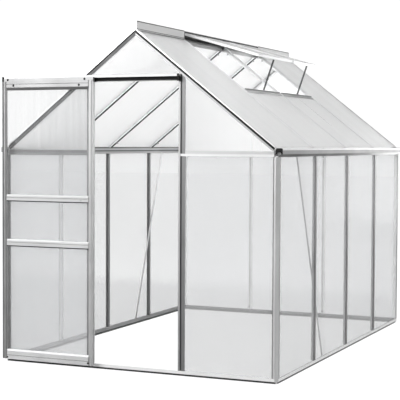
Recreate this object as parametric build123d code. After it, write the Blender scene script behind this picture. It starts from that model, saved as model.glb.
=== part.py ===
from build123d import *
import os
from math import sin, cos, tan, radians

os.makedirs("parts", exist_ok=True)

# Walk-in greenhouse: extruded aluminium bars with glazing slots, twin-wall
# sheets, two roof vents propped open on the right slope, and one door that
# hangs from a track above the front doorway and slides sideways.
# Millimetres. While a piece is made, y = 0 is the outer face of the front wall
# and y = DEPTH the outer face of the rear wall; Y_SHIFT then centres the whole.

# ---- driving dimensions
WIDTH = 1680.0             # over the side walls
DEPTH = 2500.0             # over the front and rear walls
APEX = 1892.0              # outer surface of the roof at the ridge line
PITCH = 38.1               # roof pitch, degrees
RIDGE_TOP = 1936.0         # top of the ridge fin
BAYS = 4                   # bays along a side wall
SKIN = 1.5                 # wall of an extruded bar
SLOT_A, SLOT_B = 1.5, 6.1  # glazing slot, depth from the outer face
SHEET_A, SHEET_B = 1.8, 5.8  # the sheet in it
BAR_W, BAR_D = 25.0, 20.0  # face width and depth of a stud or rafter
FACE_LOW, SILL_SEAT, SILL_TOP = 9.0, 12.0, 27.0   # sole plate's outer face and slot
BEVEL = 18.0               # corner post's bevel
EAVE_LOW, EAVE_SEAT = 1196.0, 1211.0  # eave beam's glazing slot
GUTTER_OUT, GUTTER_LIP = 860.0, 1240.0
BAR_LOW, BAR_HIGH = 1197.0, 1226.0    # crossbars of the two ends
POST = (262.0, 273.0, 283.0, 301.0)   # door post: lip, groove, face, outer edge
REAR_STUD_X = 284.5
HEAD_LOW, HEAD_HIGH = 1626.0, 1646.0  # bar above the doorway
TRACK_LOW, TRACK_HIGH = 1603.0, 1641.0
TRACK_LEFT, TRACK_RIGHT = -829.0, 262.0
TRACK_FRONT, TRACK_BACK = -24.0, -3.2
RUNNER_TOP = 1607.6
DOOR_LEFT, DOOR_RIGHT = -828.0, -238.0
DOOR_FRONT, DOOR_DEEP = -46.0, 16.0
DOOR_LOW, DOOR_TOP = 22.0, 1613.0
STILE = 29.0
RAILS = {"bottom": (22.0, 79.0), "low": (672.0, 714.0), "high": (930.0, 970.0), "top": (1563.0, 1613.0)}
HANG_LOW, HANG_HIGH = 1613.0, 1631.0
AXLE_X, AXLE_Z, ROLLER_R = (-790.0, -292.0), 1620.0, 12.0
VENT_DROP = 16.0           # slope of an opened vent below level, degrees
VENT_LENGTH = 490.0
VENT_DEEP = 14.0
HINGE = (7.0, 1922.0)
VENTS = ((640.0, 1238.0), (1262.0, 1860.0))
VENT_SILL = 510.0          # slope distance of the bar below a vent
Y_SHIFT = -(DEPTH + 3.0 + DOOR_FRONT) / 2

HALF = WIDTH / 2
TH = radians(PITCH)
TAN = tan(TH)
RUN = (HALF - 19.0) / cos(TH)        # slope length of the roof bars
RAFTER_TOP = 18.5
STUDS = [DEPTH * i / BAYS for i in range(1, BAYS)]
EDGES = [0.0] + STUDS + [DEPTH]


def out(name, *solids):
    moved = [Pos(0, Y_SHIFT, 0) * s for s in solids]
    export_step(moved[0] if len(moved) == 1 else Compound(children=moved), "parts/" + name + ".step")


def one(shape):
    """The single solid of a result."""
    found = shape.solids()
    assert len(found) == 1, len(found)
    return found[0]


def poly(points):
    return make_face(Polyline(*points, close=True))


def sketch(rects, *faces):
    """A section from rectangles (a0, a1, b0, b1) and other faces, joined."""
    area = None
    for a0, a1, b0, b1 in rects:
        r = Pos((a0 + a1) / 2, (b0 + b1) / 2) * Rectangle(a1 - a0, b1 - b0)
        area = r if area is None else area + r
    for f in faces:
        area = f if area is None else area + f
    return area


def bar(section, start, u, v, length):
    """A straight bar. Its section lies in u and v, and it runs along u x v."""
    w = Vector(*u).cross(Vector(*v))
    area = sketch(section) if isinstance(section, list) else section
    made = extrude(Plane(origin=start, x_dir=u, z_dir=w) * area, amount=length, dir=w)
    return made.solids()[0] if len(made.solids()) == 1 else made


def block(x0, x1, y0, y1, z0, z1):
    return one(Pos((x0 + x1) / 2, (y0 + y1) / 2, (z0 + z1) / 2) * Box(x1 - x0, y1 - y0, z1 - z0))


def upright(points, z0, z1):
    return one(extrude(Plane(origin=(0, 0, z0)) * poly(points), amount=z1 - z0, dir=(0, 0, 1)))


def slab_xz(points, y0, y1):
    """A flat piece parallel to the ends, from its outline in x and z."""
    wire = Polyline(*[(x, y0, z) for x, z in points], close=True)
    return one(extrude(make_face(wire), amount=y1 - y0, dir=(0, 1, 0)))


def roof_z(x, n=0.0):
    """Height above x of the roof's outer plane moved by n along its normal."""
    return APEX - TAN * abs(x) + n / cos(TH)


def sn(side, s, n):
    """x and z of a point s down the slope and n outward from the roof plane."""
    return (side * (s * cos(TH) + n * sin(TH)), APEX - s * sin(TH) + n * cos(TH))


def end_y(end, v):
    """y of a point v inward from the face of the front (0) or rear (1) wall."""
    return v if end == 0 else DEPTH - v


def rear_of(rects):
    return [(-b, -a, c, d) for a, b, c, d in rects]


# ---- sections, as (u0, u1, v0, v1), with v = 0 on the outer face
STUD = [(-BAR_W / 2, BAR_W / 2, 0, SKIN), (-1, 1, 0.5, 7), (-BAR_W / 2, BAR_W / 2, SLOT_B, SLOT_B + SKIN),
        (-8, -6.5, 7, BAR_D), (6.5, 8, 7, BAR_D), (-8, -3.5, BAR_D - SKIN, BAR_D), (3.5, 8, BAR_D - SKIN, BAR_D)]
PLATE_OUT = [(FACE_LOW, SILL_TOP, 0, SKIN), (FACE_LOW, SILL_TOP, SLOT_B, SLOT_B + SKIN), (FACE_LOW, SILL_SEAT, 0, SLOT_B + SKIN)]
PLATE_IN = [(0, FACE_LOW + 1, 5, 6.5), (0, 2, 5, 34), (FACE_LOW, 11, 5, 24), (FACE_LOW, 18, 22.5, 24)]
MID = BAR_LOW + 13
CROSS_LIP = [(BAR_LOW, MID, -SKIN, 0)]
CROSS_BODY = [(BAR_LOW, BAR_HIGH, 0, SKIN), (MID, MID + 2, 0.5, 7), (BAR_LOW, BAR_HIGH, SLOT_B, SLOT_B + SKIN)]
CROSS_BACK = [(BAR_LOW + 6, BAR_LOW + 7.5, 7, 18), (BAR_LOW + 20, BAR_LOW + 21.5, 7, 18), (BAR_LOW + 6, BAR_LOW + 10, 16.5, 18),
              (BAR_LOW + 17.5, BAR_LOW + 21.5, 16.5, 18)]

# ---------------------------------------------------------------- base frame
def end_plate(end):
    y, v = end_y(end, 0), (0, 1 if end == 0 else -1, 0)
    x = HALF - BEVEL if end == 0 else -HALF + BEVEL
    return bar(PLATE_OUT + PLATE_IN, (x, y, 0), (0, 0, 1), v, WIDTH - 2 * BEVEL)


def side_plate(side):
    v = (-side, 0, 0)
    # outer face up to the corner's bevel, foot and shelf clear of the end plates
    def run(rects, gap):
        start = (side * HALF, DEPTH - gap if side > 0 else gap, 0)
        return bar(rects, start, (0, 0, 1), v, DEPTH - 2 * gap)
    return one(run(PLATE_OUT, BEVEL) + run(PLATE_IN, 36.0))


out("front_sole_plate", end_plate(0))
out("rear_sole_plate", end_plate(1))
out("side_sole_plates", side_plate(-1), side_plate(1))

# ---------------------------------------------------------------- corner posts
# section in a and b, the distances inward from the side face and the end face
CORNER = [(27, 0), (BEVEL, 0), (0, BEVEL), (0, 28), (SKIN, 28), (SKIN, 19.5), (SLOT_B, 19.5), (SLOT_B, 28), (SLOT_B + SKIN, 28),
          (SLOT_B + SKIN, 21), (21, 21), (21, SLOT_B + SKIN), (35, SLOT_B + SKIN), (35, SLOT_B), (19.5, SLOT_B), (19.5, SKIN), (27, SKIN)]
HEEL = [(BEVEL, 0), (0, BEVEL), (BEVEL, BEVEL)]
FOOT = [(BEVEL, 5), (13, 5), (5, 13), (5, 36), (6.5, 36), (6.5, BEVEL), (BEVEL, BEVEL)]


def corner(side, end):
    def place(points):
        return [(side * (HALF - a), end_y(end, b)) for a, b in points]
    return one(upright(place(CORNER), SILL_TOP, EAVE_LOW) + upright(place(HEEL), FACE_LOW, SILL_TOP + 0.0) + upright(place(FOOT), 0, FACE_LOW))


out("front_corner_posts", corner(-1, 0), corner(1, 0))
out("rear_corner_posts", corner(-1, 1), corner(1, 1))

# ---------------------------------------------------------------- side wall studs
out("left_wall_studs", *[bar(STUD, (-HALF, y, SILL_TOP), (0, -1, 0), (1, 0, 0), EAVE_LOW - SILL_TOP) for y in STUDS])
out("right_wall_studs", *[bar(STUD, (HALF, y, SILL_TOP), (0, 1, 0), (-1, 0, 0), EAVE_LOW - SILL_TOP) for y in STUDS])

# ---------------------------------------------------------------- eave beams with their gutters
# u is the distance outward from the side face, v the height
TROUGH = [(-18, -16.5, EAVE_SEAT, 1241), (-18, GUTTER_OUT - HALF, EAVE_SEAT, EAVE_SEAT + 2),
          (GUTTER_OUT - HALF - SKIN, GUTTER_OUT - HALF, EAVE_SEAT, GUTTER_LIP), (GUTTER_OUT - HALF - 4, GUTTER_OUT - HALF, GUTTER_LIP - SKIN, GUTTER_LIP)]
EAVE_SLOT = [(-SKIN, 0, EAVE_LOW, EAVE_SEAT + 1), (-SLOT_B - SKIN, -SLOT_B, EAVE_LOW, EAVE_SEAT + 1)]
EAVE_WEB = [(-36, -16.5, EAVE_SEAT, EAVE_SEAT + 2), (-36, -34.5, 1200, 1234.5)]


def eave(side):
    def run(rects, gap):
        y = DEPTH - gap if side > 0 else gap
        return bar(rects, (side * HALF, y, 0), (side, 0, 0), (0, 0, 1), DEPTH - 2 * gap)
    # trough over the whole length, the rest behind the end walls
    return one(run(TROUGH, 1.0) + run(EAVE_SLOT, 1.0) + run(EAVE_WEB, 20.5))


out("left_eave_gutter", eave(-1))
out("right_eave_gutter", eave(1))


def gutter_cap(side, end):
    """A moulded cap with round shoulders, and a drip notch in its lower edge."""
    y0, y1 = (-4.0, 1.0) if end == 0 else (DEPTH - 1.0, DEPTH + 2.0)
    x0, x1, z0, z1, r = 821.5, GUTTER_OUT, EAVE_SEAT, 1243.0, 9.0
    arcs = [(x1 - r + r * cos(t), z1 - r + r * sin(t)) for t in [radians(15 * i) for i in range(7)]]
    arcs += [(x0 + r + r * cos(t), z1 - r + r * sin(t)) for t in [radians(90 + 15 * i) for i in range(7)]]
    notch = [(x0 + 8, z0), (x0 + 8, z0 + 6), (x0 + 12, z0 + 10), (x1 - 12, z0 + 10), (x1 - 8, z0 + 6), (x1 - 8, z0)]
    return slab_xz([(side * x, z) for x, z in [(x1, z0)] + arcs + [(x0, z0)] + notch], y0, y1)


out("gutter_end_caps", *[gutter_cap(s, e) for s in (-1, 1) for e in (0, 1)])

# ---------------------------------------------------------------- end wall uprights
P0, P1, P2, P3 = POST
DOOR_POST = [(P0, P1, 0, SKIN), (P1 - SKIN, P1, 0, SLOT_B + SKIN), (P2, P2 + SKIN, 0, SLOT_B + SKIN), (P2, P3, 0, SKIN), (P1 - SKIN, P3, SLOT_B, SLOT_B + SKIN),
             (P1, P1 + SKIN, 7, BAR_D), (P3 - 12, P3 - 10.5, 7, BAR_D), (P0, P1 + SKIN, BAR_D - SKIN, BAR_D), (P3 - 15, P3 - 10.5, BAR_D - SKIN, BAR_D)]


def under_roof(solid, n):
    """The part of an upright below the roof's plane moved by n."""
    keep = slab_xz([(-1000, 0), (1000, 0), (1000, roof_z(1000, n)), (0, roof_z(0, n)), (-1000, roof_z(1000, n))], -50, DEPTH + 50)
    return one(solid & keep)


def door_post(side):
    rects = DOOR_POST if side > 0 else rear_of(DOOR_POST)
    return under_roof(bar(rects, (0, 0, SILL_TOP), (1, 0, 0), (0, 1, 0), 1660), -28.3)


out("door_posts", door_post(-1), door_post(1))
out("rear_wall_studs", *[under_roof(bar(STUD, (x, DEPTH, SILL_TOP), (-1, 0, 0), (0, -1, 0), 1660), -28.3) for x in (-REAR_STUD_X, REAR_STUD_X)])


# ---------------------------------------------------------------- crossbars at eave height
def cross(end, x0, x1, lip0, lip1, back0, back1):
    """A crossbar over x0..x1, its outer lip over lip0..lip1, its bolt channel over back0..back1."""
    y, v = end_y(end, 0), (0, 1 if end == 0 else -1, 0)
    def run(rects, a, b):
        return bar(rects, (b if end == 0 else a, y, 0), (0, 0, 1), v, b - a)
    return one(run(CROSS_LIP, lip0, lip1) + run(CROSS_BODY, x0, x1) + run(CROSS_BACK, back0, back1))


XC = HALF - 27.2
out("front_crossbars", cross(0, -XC, -P3 - 0.2, -XC, -P1 - 1, -800, -P3 - 0.2), cross(0, P3 + 0.2, XC, P1 + 1, XC, P3 + 0.2, 800))
RX = REAR_STUD_X + BAR_W / 2 + 0.2
RM = REAR_STUD_X - BAR_W / 2 - 0.2
out("rear_crossbars", cross(1, -XC, -RX, -XC, -RX, -800, -RX), cross(1, RX, XC, RX, XC, RX, 800), cross(1, -RM, RM, -RM, RM, -RM, RM))

# ---------------------------------------------------------------- gable rafters
# u is the depth inward from the end face, v the outward normal of the roof
GABLE = [(-3, 20, -SKIN, 0), (-3, -1.5, -5.5, 0), (3, 4.5, -13.5, 0), (0, 7.6, -13.5, -12), (0, SKIN, -28, -12), (SLOT_B, SLOT_B + SKIN, -28, -12), (4, 20, -7.6, SLOT_B * -1)]


def gable(side, end):
    u = Vector(0, 1 if end == 0 else -1, 0)
    n = Vector(side * sin(TH), 0, cos(TH))
    down = Vector(side * cos(TH), 0, -sin(TH))
    start = Vector(0, end_y(end, 0), APEX) + (down * -40 if u.cross(n).dot(down) > 0 else down * RUN)
    made = bar(GABLE, start, tuple(u), tuple(n), RUN + 40)
    half = block(0.3, 1000, -100, DEPTH + 100, 0, 3000) if side > 0 else block(-1000, -0.3, -100, DEPTH + 100, 0, 3000)
    return one(made & half)


out("front_gable_rafters", gable(-1, 0), gable(1, 0))
out("rear_gable_rafters", gable(-1, 1), gable(1, 1))


# ---------------------------------------------------------------- roof rafters
def rafter(side, y):
    n = Vector(-side * sin(TH), 0, -cos(TH))
    down = Vector(side * cos(TH), 0, -sin(TH))
    u = Vector(0, 1, 0)
    start = Vector(0, y, APEX) + down * (RAFTER_TOP if u.cross(n).dot(down) > 0 else RUN)
    return bar(STUD, tuple(start), tuple(u), tuple(n), RUN - RAFTER_TOP)


out("left_roof_rafters", *[rafter(-1, y) for y in STUDS])
out("right_roof_rafters", *[rafter(1, y) for y in STUDS])

# ---------------------------------------------------------------- ridge
WINGS = [poly([sn(s, a, n0), sn(s, RAFTER_TOP, n0), sn(s, RAFTER_TOP, n1), sn(s, a, n1)]) for s in (-1, 1) for n0, n1, a in ((-SKIN, 0, 0), (-7.6, -SLOT_B, 0))]
low = sketch([(-1.5, 1.5, 1856, 1893), (-8, 8, 1854, 1857)], *WINGS)
high = sketch([(-1.5, 1.5, 1892.2, RIDGE_TOP - 4), (-4, 4, RIDGE_TOP - 6, RIDGE_TOP - 4)])
out("ridge_beam", one(bar(low, (0, DEPTH - 20.5, 0), (1, 0, 0), (0, 0, 1), DEPTH - 41) + bar(high, (0, DEPTH - 4, 0), (1, 0, 0), (0, 0, 1), DEPTH - 8)))

# upright ridge caps with a small eave at the top and a foot along the slope: outline of the right-hand half, x and z
CAP = [(1.6, RIDGE_TOP), (7.6, RIDGE_TOP), (7.6, RIDGE_TOP - 1.6), (6.0, RIDGE_TOP - 1.6), (6.0, roof_z(6, 1.9)), (13, roof_z(13, 1.9)), (13, roof_z(13, 0.4)),
       (4.5, roof_z(4.5, 0.4)), (4.5, RIDGE_TOP - 3.8), (1.6, RIDGE_TOP - 3.8)]


def cap(side, y0, y1):
    return slab_xz([(side * x, z) for x, z in CAP], y0, y1)


out("ridge_caps", cap(-1, 1, DEPTH - 1), cap(1, 1, 636), cap(1, 1864, DEPTH - 1))

# ---------------------------------------------------------------- bar and track over the doorway
HEAD = [(HEAD_LOW, HEAD_HIGH, TRACK_BACK, SKIN), (HEAD_LOW, HEAD_HIGH, SLOT_B, SLOT_B + SKIN), (HEAD_LOW + 8, HEAD_LOW + 10, 0.5, 7), (HEAD_LOW + 3, HEAD_LOW + 4.5, 7, 18), (HEAD_LOW + 17, HEAD_LOW + 18.5, 7, 18)]
out("door_header", bar(HEAD, (P0 - 0.2, 0, 0), (0, 0, 1), (0, 1, 0), 2 * P0 - 0.4))
TB = TRACK_BACK
TRACK = [(TRACK_LOW, TRACK_HIGH, TB - SKIN, TB), (TRACK_HIGH - 2, TRACK_HIGH, TRACK_FRONT, TB), (TRACK_HIGH - 13, TRACK_HIGH, TRACK_FRONT, TRACK_FRONT + SKIN),
         (TRACK_LOW, TRACK_LOW + 2, TRACK_FRONT, TB), (TRACK_LOW, TRACK_LOW + 6, TRACK_FRONT, TRACK_FRONT + SKIN), (RUNNER_TOP - SKIN, RUNNER_TOP, TRACK_FRONT + 2, TB),
         (TRACK_LOW, RUNNER_TOP, TRACK_FRONT + 2, TRACK_FRONT + 3.5)]
out("door_track", bar(TRACK, (TRACK_RIGHT, 0, 0), (0, 0, 1), (0, 1, 0), TRACK_RIGHT - TRACK_LEFT))
out("door_track_stops", block(TRACK_RIGHT, P1, TRACK_FRONT, TB, TRACK_LOW, TRACK_HIGH - 13), block(TRACK_LEFT - 13, TRACK_LEFT, TRACK_FRONT, TB, TRACK_LOW, TRACK_HIGH))
out("door_track_liner", block(TRACK_LEFT + 1, TRACK_RIGHT - 1, TB - SKIN - 1.5, TB - SKIN, RUNNER_TOP, TRACK_HIGH - 14))


# ---------------------------------------------------------------- wall braces
def brace(side, y0, z0, y1, z1, wide=20.0, thick=1.5):
    """A flat strip inside a side wall, from high (y0, z0) to low (y1, z1)."""
    a, b = Vector(0, y0, z0), Vector(0, y1, z1)
    along = (b - a).normalized()
    x = side * (HALF - BAR_D - thick - 0.2)
    face = Plane(origin=(x, 0, 0), x_dir=(0, 1, 0), z_dir=(1, 0, 0))
    across = Vector(0, -along.Z, along.Y) * (wide / 2)
    pts = [a + across, b + across, b - across, a - across]
    wire = Polyline(*[(x, p.Y, p.Z) for p in pts], close=True)
    return one(extrude(make_face(wire), amount=thick, dir=(side, 0, 0)))


out("wall_braces", brace(1, 341, 1200, 823, 20), brace(-1, DEPTH - 433, 1200, DEPTH - 859, 20))


# ---------------------------------------------------------------- fixed sheets
def end_sheet(end, points):
    y0, y1 = sorted((end_y(end, SHEET_A), end_y(end, SHEET_B)))
    return slab_xz(points, y0, y1)


SX = HALF - 19.9
LOWZ, TOPZ, GABZ = SILL_SEAT, MID, MID + 2.2
PX, PN = P2 + SKIN + 0.5, -14.0
out("front_wall_panels", end_sheet(0, [(-SX, LOWZ), (-PX, LOWZ), (-PX, TOPZ), (-SX, TOPZ)]), end_sheet(0, [(PX, LOWZ), (SX, LOWZ), (SX, TOPZ), (PX, TOPZ)]))


def gable_quad(end, side, x0):
    return end_sheet(end, [(side * x0, GABZ), (side * (SX - 1), GABZ), (side * (SX - 1), roof_z(SX - 1, PN)), (side * x0, roof_z(x0, PN))])


def gable_peak(end, x0, z0):
    return end_sheet(end, [(-x0, z0), (x0, z0), (x0, roof_z(x0, PN)), (0, roof_z(0, PN)), (-x0, roof_z(x0, PN))])


out("front_gable_panels", gable_quad(0, -1, PX), gable_quad(0, 1, PX), gable_peak(0, P1 - SKIN - 0.5, HEAD_LOW + 10.2))
RS = REAR_STUD_X + 1.3
RT = REAR_STUD_X - 1.3
out("rear_wall_panels", end_sheet(1, [(-SX, LOWZ), (-RS, LOWZ), (-RS, TOPZ), (-SX, TOPZ)]), end_sheet(1, [(RS, LOWZ), (SX, LOWZ), (SX, TOPZ), (RS, TOPZ)]),
    end_sheet(1, [(-RT, LOWZ), (RT, LOWZ), (RT, TOPZ), (-RT, TOPZ)]))
out("rear_gable_panels", gable_quad(1, -1, RS), gable_quad(1, 1, RS), gable_peak(1, RT, GABZ))


def side_sheet(side, i):
    y0 = 19.9 if i == 0 else EDGES[i] + 1.3
    y1 = DEPTH - 19.9 if i == BAYS - 1 else EDGES[i + 1] - 1.3
    a, b = sorted((side * (HALF - SHEET_A), side * (HALF - SHEET_B)))
    return block(a, b, y0, y1, SILL_SEAT, EAVE_SEAT)


out("left_wall_panels", *[side_sheet(-1, i) for i in range(BAYS)])
out("right_wall_panels", *[side_sheet(1, i) for i in range(BAYS)])


def roof_sheet(side, i, s0=4.0, s1=None):
    y0 = 5.0 if i == 0 else EDGES[i] + 1.3
    y1 = DEPTH - 5.0 if i == BAYS - 1 else EDGES[i + 1] - 1.3
    s1 = RUN if s1 is None else s1
    return slab_xz([sn(side, s0, -SHEET_A), sn(side, s1, -SHEET_A), sn(side, s1, -SHEET_B), sn(side, s0, -SHEET_B)], y0, y1)


out("left_roof_panels", *[roof_sheet(-1, i, 12.0) for i in range(BAYS)])
out("right_roof_panels", roof_sheet(1, 0, 12.0), roof_sheet(1, 1, VENT_SILL + 8), roof_sheet(1, 2, VENT_SILL + 8), roof_sheet(1, 3, 12.0))

# ---------------------------------------------------------------- vents
# the bar that the free edge of a vent closes on, between two rafters
def vent_sill(i):
    pts = [(-10, 7), (-8.5, 7), (-8.5, -1.5), (7.5, -1.5), (16, -1.5), (16, 0), (-7.5, 0)]
    web = sketch([(-12, 16, -SKIN, 0), (-12, -10.5, -1, 7), (4, 5.5, -7.6, 0), (-12, 16, -7.6, -SLOT_B), (-12, -10.5, -14, -6.5)])
    # section: u down the slope, v the normal
    y0, y1 = EDGES[i] + BAR_W / 2 + 0.1, EDGES[i + 1] - BAR_W / 2 - 0.1
    down = Vector(cos(TH), 0, -sin(TH))
    n = Vector(sin(TH), 0, cos(TH))
    w = down.cross(n)
    x, z = sn(1, VENT_SILL, 0)
    return bar(web, (x, y1 if w.Y < 0 else y0, z), tuple(down), tuple(n), y1 - y0)


out("vent_sill_bars", vent_sill(1), vent_sill(2))

VD = radians(VENT_DROP)
VENT_PLANE = (Vector(cos(VD), 0, -sin(VD)), Vector(sin(VD), 0, cos(VD)))


def vent_box(y0, y1, d0, d1, m0, m1):
    """A box on an open vent: d down its slope from the hinge, m along its normal."""
    p = Plane(origin=(HINGE[0], 0, HINGE[1]), x_dir=VENT_PLANE[0], z_dir=VENT_PLANE[1])
    return p * (Pos((d0 + d1) / 2, (y0 + y1) / 2, (m0 + m1) / 2) * Box(d1 - d0, y1 - y0, m1 - m0))


def vent_frame(y0, y1):
    frame = vent_box(y0, y1, 0, VENT_LENGTH, -VENT_DEEP, 0)
    frame = frame - vent_box(y0 + 20, y1 - 20, 22, VENT_LENGTH - 24, -VENT_DEEP - 1, 1)
    return one(frame - vent_box(y0 + 12, y1 - 12, 14, VENT_LENGTH - 16, -6.4, -1.6))


out("front_vent_frame", vent_frame(*VENTS[0]))
out("rear_vent_frame", vent_frame(*VENTS[1]))
out("vent_panes", *[one(vent_box(y0 + 12.5, y1 - 12.5, 14.5, VENT_LENGTH - 16.5, -6.2, -1.8)) for y0, y1 in VENTS])


def stay(y):
    a = sn(1, VENT_SILL - 11, 8)
    b = (HINGE[0] + (VENT_LENGTH - 12) * cos(VD) - (VENT_DEEP + 0.2) * sin(VD), HINGE[1] - (VENT_LENGTH - 12) * sin(VD) - (VENT_DEEP + 0.2) * cos(VD))
    dx, dz = b[0] - a[0], b[1] - a[1]
    length = (dx * dx + dz * dz) ** 0.5
    ux, uz = dx / length, dz / length
    h = 5.0
    pts = [(a[0] - uz * h, a[1] + ux * h), (b[0] - uz * h - ux * 4, b[1] + ux * h - uz * 4), (b[0] + uz * h - ux * 4, b[1] - ux * h - uz * 4), (a[0] + uz * h, a[1] - ux * h)]
    return slab_xz(pts, y - 2, y + 2)


out("vent_stays", *[stay((y0 + y1) / 2) for y0, y1 in VENTS])

# ---------------------------------------------------------------- door
DF = DOOR_FRONT
# stile: u from its outer edge inward, v from the door's face. The face is a V groove, a crown and a long bevel
# down to the sheet, which lies DEEP further in than in the walls.
DEEP = 3.2
DSA, DSB = SHEET_A + DEEP, SHEET_B + DEEP        # the door's sheets
DFL = SLOT_B + DEEP                              # and the flange behind them
SKIN_LINE = [(0, 0), (6, 4.5), (15.5, 0), (17, 0), (STILE, 3.2)]
STILE_FACE = SKIN_LINE + [(u, v + SKIN) for u, v in SKIN_LINE[::-1]]
STILE_BOX = [(0, 19.5, DOOR_DEEP - SKIN, DOOR_DEEP), (0, SKIN, 0.5, DOOR_DEEP), (18, 19.5, 1.2, DOOR_DEEP), (18, STILE, DFL, DFL + SKIN)]


def stile(side, x):
    def face(points):
        return poly([(side * u, v) for u, v in points])
    rects = STILE_BOX if side > 0 else rear_of(STILE_BOX)
    return bar(sketch(rects, face(STILE_FACE)), (x, DF, DOOR_LOW), (1, 0, 0), (0, 1, 0), DOOR_TOP - DOOR_LOW)


out("door_stiles", stile(1, DOOR_LEFT), stile(-1, DOOR_RIGHT))
DX0, DX1 = DOOR_LEFT + STILE, DOOR_RIGHT - STILE


def rail(z0, z1, below, above, groove=None):
    """A rail of the door, with a glazing slot, a bevelled lip below and above where asked, and a fine groove."""
    s0 = z0 + 10 if below else z0
    s1 = z1 - 10 if above else z1
    notch = [(groove - 1.3, 0), (groove, 1.0), (groove + 1.3, 0)] if groove else []
    line = ([(z0, 3.2), (z0 + below, 0)] if below else [(z0, 0)]) + notch + ([(z1 - above, 0), (z1, 3.2)] if above else [(z1, 0)])
    face = poly(line + [(z, v + SKIN) for z, v in line[::-1]])
    rects = [(z0, z1, DFL, DFL + SKIN), (s0, s0 + SKIN, 0.5 if not below else 1.4, DOOR_DEEP), (s1 - SKIN, s1, 0.5 if not above else 1.4, DOOR_DEEP), (s0, s1, DOOR_DEEP - SKIN, DOOR_DEEP)]
    return bar(sketch(rects, face), (DX1, DF, 0), (0, 0, 1), (0, 1, 0), DX1 - DX0)


out("door_bottom_rail", rail(*RAILS["bottom"], 0, 10, 44))
out("door_mid_rails", rail(*RAILS["low"], 6, 8, 696), rail(*RAILS["high"], 6, 8, 953))
out("door_top_rail", rail(*RAILS["top"], 16, 0, 1598))


def pane(below, above):
    z0, z1 = RAILS[below][1] - 9.8, RAILS[above][0] + 9.8
    return block(DOOR_LEFT + 19.8, DOOR_RIGHT - 19.8, DF + DSA, DF + DSB, z0, z1)


out("door_panes", pane("bottom", "low"), pane("low", "high"), pane("high", "top"))
HANGER = [(HANG_LOW + 1.6, HANG_HIGH, 0, SKIN), (HANG_HIGH - 2, HANG_HIGH, 0, DOOR_DEEP), (HANG_LOW, HANG_HIGH, DOOR_DEEP - SKIN, DOOR_DEEP), (HANG_LOW, HANG_LOW + 2, 1.0, DOOR_DEEP)]
out("door_hanger", bar(HANGER, (DOOR_RIGHT, DF, 0), (0, 0, 1), (0, 1, 0), DOOR_RIGHT - DOOR_LEFT - 13))


def roller(x):
    back = DF + DOOR_DEEP
    ax = Plane(origin=(x, back, AXLE_Z), x_dir=(1, 0, 0), z_dir=(0, 1, 0)) * Pos(0, 0, 9) * Cylinder(3, 18)
    wheel = Plane(origin=(x, back + 12, AXLE_Z), x_dir=(1, 0, 0), z_dir=(0, 1, 0)) * Pos(0, 0, 3.5) * Cylinder(ROLLER_R, 7)
    return one(ax + wheel)


out("door_rollers", *[roller(x) for x in AXLE_X])
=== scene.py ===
import math
import random

import bmesh
import bpy
from mathutils import Matrix, Vector


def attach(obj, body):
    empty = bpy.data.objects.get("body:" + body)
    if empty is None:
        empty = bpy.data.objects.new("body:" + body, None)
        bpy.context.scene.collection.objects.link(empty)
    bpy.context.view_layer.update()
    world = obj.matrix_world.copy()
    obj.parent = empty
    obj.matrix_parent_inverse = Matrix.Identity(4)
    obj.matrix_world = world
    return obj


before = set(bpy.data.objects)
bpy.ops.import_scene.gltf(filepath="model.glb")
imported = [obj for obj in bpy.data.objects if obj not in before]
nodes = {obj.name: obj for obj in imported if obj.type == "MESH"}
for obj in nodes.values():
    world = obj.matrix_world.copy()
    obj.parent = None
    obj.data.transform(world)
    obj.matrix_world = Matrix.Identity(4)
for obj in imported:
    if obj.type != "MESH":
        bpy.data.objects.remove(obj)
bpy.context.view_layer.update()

MM = 0.001
random.seed(7)

# ---------------------------------------------------------------- the model's own dimensions, metres
WIDTH, DEPTH, APEX = 1.680, 2.500, 1.892
HALF = WIDTH / 2
PITCH = math.radians(38.1)
TAN, CO, SI = math.tan(PITCH), math.cos(PITCH), math.sin(PITCH)
Y0 = -1.2285               # front face of the front wall
Y1 = Y0 + DEPTH            # rear face of the rear wall
STUDS = [Y0 + DEPTH * i / 4 for i in (1, 2, 3)]
EDGES = [Y0] + STUDS + [Y1]
RUN = (HALF - 0.019) / CO
SHEET_A, SHEET_B = 0.0018, 0.0058
VENT_DROP = math.radians(16.0)
HINGE = Vector((0.007, 0, 1.922))
VENTS = ((Y0 + 0.640, Y0 + 1.238), (Y0 + 1.262, Y0 + 1.860))
VENT_LENGTH, VENT_SILL = 0.490, 0.510
DOOR_F = Y0 - 0.046        # the door's outer face
DOOR_L, DOOR_R = -0.828, -0.238

scene = bpy.context.scene


# ---------------------------------------------------------------- materials
def material(name):
    m = bpy.data.materials.new(name)
    m.use_nodes = True
    nt = m.node_tree
    p = next(n for n in nt.nodes if n.type == "BSDF_PRINCIPLED")
    return m, nt, p


def node(nt, kind, **values):
    n = nt.nodes.new(kind)
    for k, v in values.items():
        setattr(n, k, v)
    return n


def mapping(nt, scale, turn=(0, 0, 0)):
    tc = node(nt, "ShaderNodeTexCoord")
    mp = node(nt, "ShaderNodeMapping")
    mp.vector_type = "POINT"
    mp.inputs["Scale"].default_value = scale
    mp.inputs["Rotation"].default_value = turn
    nt.links.new(tc.outputs["Object"], mp.inputs["Vector"])
    return mp.outputs["Vector"]


def noise(nt, vector, scale=1.0, detail=2.0, rough=0.5):
    n = node(nt, "ShaderNodeTexNoise")
    n.inputs["Scale"].default_value = scale
    n.inputs["Detail"].default_value = detail
    n.inputs["Roughness"].default_value = rough
    nt.links.new(vector, n.inputs["Vector"])
    return n.outputs["Fac"]


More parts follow.
